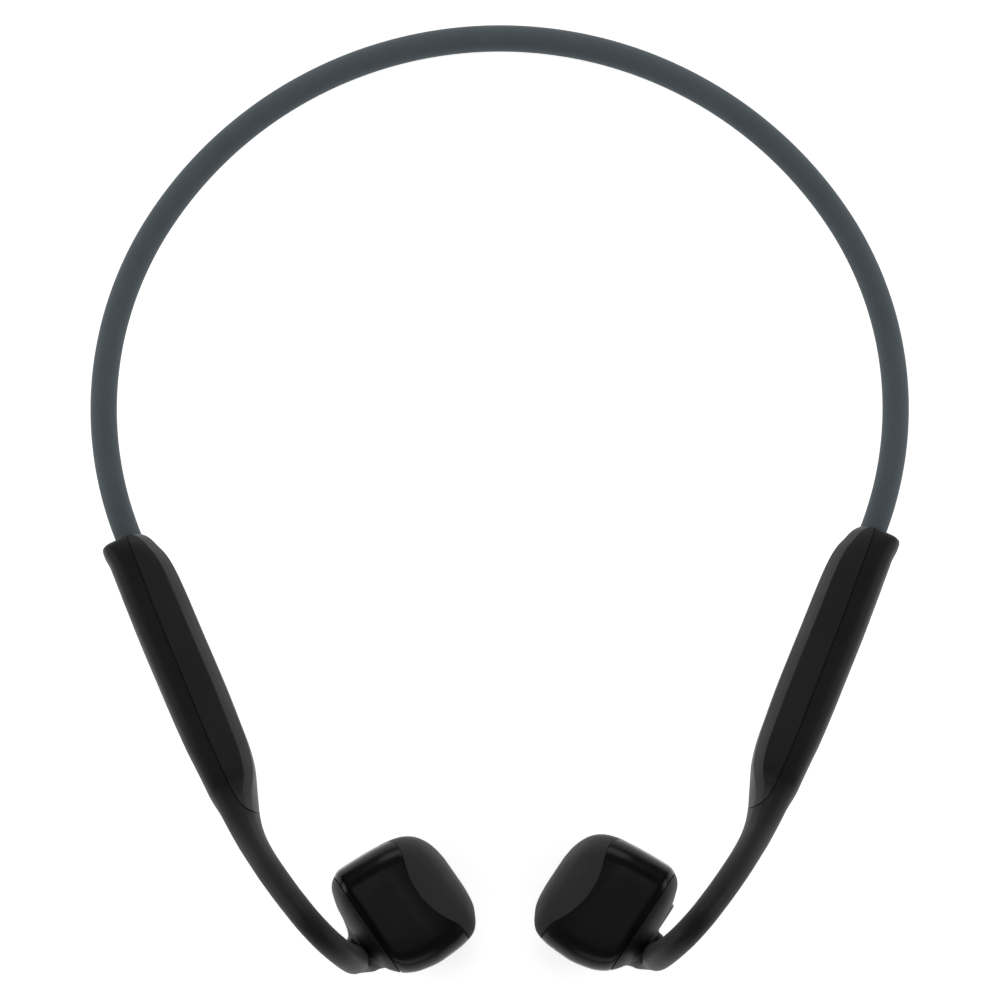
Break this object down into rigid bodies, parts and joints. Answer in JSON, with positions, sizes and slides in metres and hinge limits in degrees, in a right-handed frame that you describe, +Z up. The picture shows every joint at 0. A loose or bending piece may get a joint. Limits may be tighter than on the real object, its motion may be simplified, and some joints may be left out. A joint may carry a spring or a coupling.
{
  "type": "bone conduction headphones",
  "caption": "Open-ear bone conduction headphones with an elastic rear neckband, slim pods, over-ear hooks and sound heads that rest in front of the ears.",
  "frame": {"origin": "middle of the footprint, on the surface that the headphones rest on", "axes": "+Y to the rear of the neckband, +X to the left side of the wearer, +Z up; the wearer faces -Y"},
  "size_m": [0.1322, 0.1531, 0.0451],
  "materials": {
    "sleeve_silicone": "matt slate grey silicone",
    "spring_wire": "bare titanium alloy wire",
    "cable_jacket": "thin enamel and jacket",
    "arm_soft_touch": "near-black satin soft-touch silicone",
    "cover_plastic": "near-black satin plastic",
    "crimp_brass": "plain crimped brass",
    "head_shell": "near-black satin plastic",
    "contact_silicone": "dark grey matt silicone",
    "bracket_plastic": "moulded plastic",
    "coil_copper": "enamelled copper winding",
    "spring_steel": "thin stamped sheet",
    "plated_steel": "zinc plated",
    "magnet_nickel": "nickel plated magnet",
    "circuit_board": "solder resist",
    "chip_black": "moulded package",
    "bright_steel": "tin plated steel",
    "connector_plastic": "moulded contact carrier",
    "clear_plastic": "milky light pipe",
    "antenna_brass": "stamped sheet",
    "key_plastic": "satin black",
    "port_silicone": "soft black silicone",
    "cell_foil": "foil pouch",
    "foam": "closed-cell foam"
  },
  "bodies": {
    "neckband": {"neckband_sleeve": "sleeve_silicone", "neckband_wire": "spring_wire", "neckband_cable": "cable_jacket"},
    "right_arm": {"right_arm_skin": "arm_soft_touch", "right_inner_cover": "cover_plastic", "right_band_anchor": "crimp_brass", "right_hook_wire": "spring_wire", "right_hook_anchor": "crimp_brass", "right_hook_cable": "cable_jacket", "right_head_housing": "head_shell", "right_face_pad": "contact_silicone", "right_coil_bracket": "bracket_plastic", "right_voice_coil": "coil_copper", "right_exciter_spring": "spring_steel", "main_board": "circuit_board", "bluetooth_chip": "chip_black", "amplifier_chip": "chip_black", "flash_chip": "chip_black", "crystal": "bright_steel", "volume_switches": "bright_steel", "usb_c_shell": "bright_steel", "usb_c_tongue": "connector_plastic", "led_light_pipe": "clear_plastic", "antenna": "antenna_brass", "microphone": "bright_steel", "microphone_mesh": "bright_steel"},
    "left_arm": {"left_arm_skin": "arm_soft_touch", "left_inner_cover": "cover_plastic", "left_band_anchor": "crimp_brass", "left_hook_wire": "spring_wire", "left_hook_anchor": "crimp_brass", "left_hook_cable": "cable_jacket", "left_head_housing": "head_shell", "left_face_pad": "contact_silicone", "left_coil_bracket": "bracket_plastic", "left_voice_coil": "coil_copper", "left_exciter_spring": "spring_steel", "battery_cell": "cell_foil", "battery_foam": "foam", "protection_board": "circuit_board", "protection_chips": "chip_black", "multifunction_switch": "bright_steel", "button_board": "circuit_board"},
    "volume_up": {"volume_up_key": "key_plastic"},
    "volume_down": {"volume_down_key": "key_plastic"},
    "multifunction": {"multifunction_button": "key_plastic"},
    "charging_port_cover": {"port_cover": "port_silicone"},
    "right_exciter": {"right_yoke": "plated_steel", "right_magnet": "magnet_nickel", "right_pole_plate": "plated_steel"},
    "left_exciter": {"left_yoke": "plated_steel", "left_magnet": "magnet_nickel", "left_pole_plate": "plated_steel"}
  },
  "joints": [
    {"name": "right_arm_flex", "type": "hinge", "parent": "neckband", "child": "right_arm", "pos_m": [-0.0401, 0.0503, 0.006], "axis": [0, 0, -1], "range_deg": [-2, 32], "stiffness_Nm_per_rad": 0.09, "deforming": ["neckband_sleeve", "neckband_wire", "neckband_cable"]},
    {"name": "left_arm_flex", "type": "hinge", "parent": "neckband", "child": "left_arm", "pos_m": [0.0401, 0.0503, 0.006], "axis": [0, 0, 1], "range_deg": [-2, 32], "stiffness_Nm_per_rad": 0.09, "deforming": ["neckband_sleeve", "neckband_wire", "neckband_cable"]},
    {"name": "volume_up_press", "type": "slide", "parent": "right_arm", "child": "volume_up", "axis": [-0.0637, 0.1523, 0.9863], "range_m": [0, 0.00035], "stiffness_N_per_m": 900},
    {"name": "volume_down_press", "type": "slide", "parent": "right_arm", "child": "volume_down", "axis": [-0.0637, 0.1523, 0.9863], "range_m": [0, 0.00035], "stiffness_N_per_m": 900},
    {"name": "port_cover_swing", "type": "hinge", "parent": "right_arm", "child": "charging_port_cover", "pos_m": [-0.05613, -0.01915, 0.01062], "axis": [0.9225, 0.3859, 0], "range_deg": [0, 100], "stiffness_Nm_per_rad": 0.001},
    {"name": "multifunction_press", "type": "slide", "parent": "left_arm", "child": "multifunction", "axis": [-0.8271, 0.5621, 0], "range_m": [0, 0.0004], "stiffness_N_per_m": 900},
    {"name": "right_exciter_travel", "type": "slide", "parent": "right_arm", "child": "right_exciter", "axis": [0.8271, 0.5621, 0], "range_m": [-0.0002, 0.0002], "stiffness_N_per_m": 400},
    {"name": "left_exciter_travel", "type": "slide", "parent": "left_arm", "child": "left_exciter", "axis": [-0.8271, 0.5621, 0], "range_m": [-0.0002, 0.0002], "stiffness_N_per_m": 400}
  ]
}
